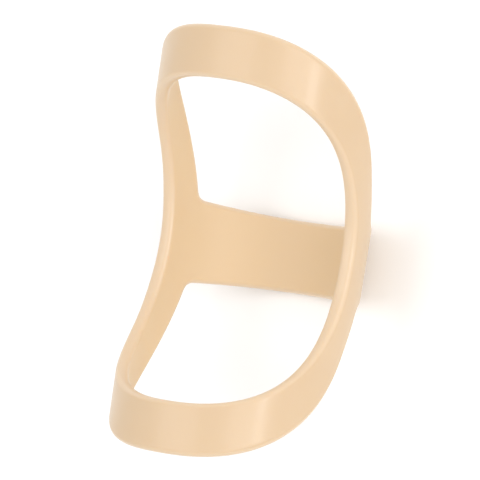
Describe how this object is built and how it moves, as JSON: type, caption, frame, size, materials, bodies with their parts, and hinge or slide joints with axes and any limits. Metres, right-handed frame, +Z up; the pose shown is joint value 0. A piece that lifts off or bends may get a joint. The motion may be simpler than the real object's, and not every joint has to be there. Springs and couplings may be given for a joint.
{
  "type": "finger splint",
  "caption": "One-piece moulded plastic finger splint: open arches over the finger, side rails, and a band under it.",
  "frame": {"origin": "on the surface that the splint rests on, below the middle of its box", "axes": "+Z up, towards the arches over the finger; Y along the finger, +Y towards the slightly wider mouth; X from side to side"},
  "size_m": [0.0208, 0.0366, 0.0188],
  "materials": {
    "moulded_plastic": "satin"
  },
  "bodies": {
    "root": {"splint_body": "moulded_plastic"}
  },
  "joints": []
}
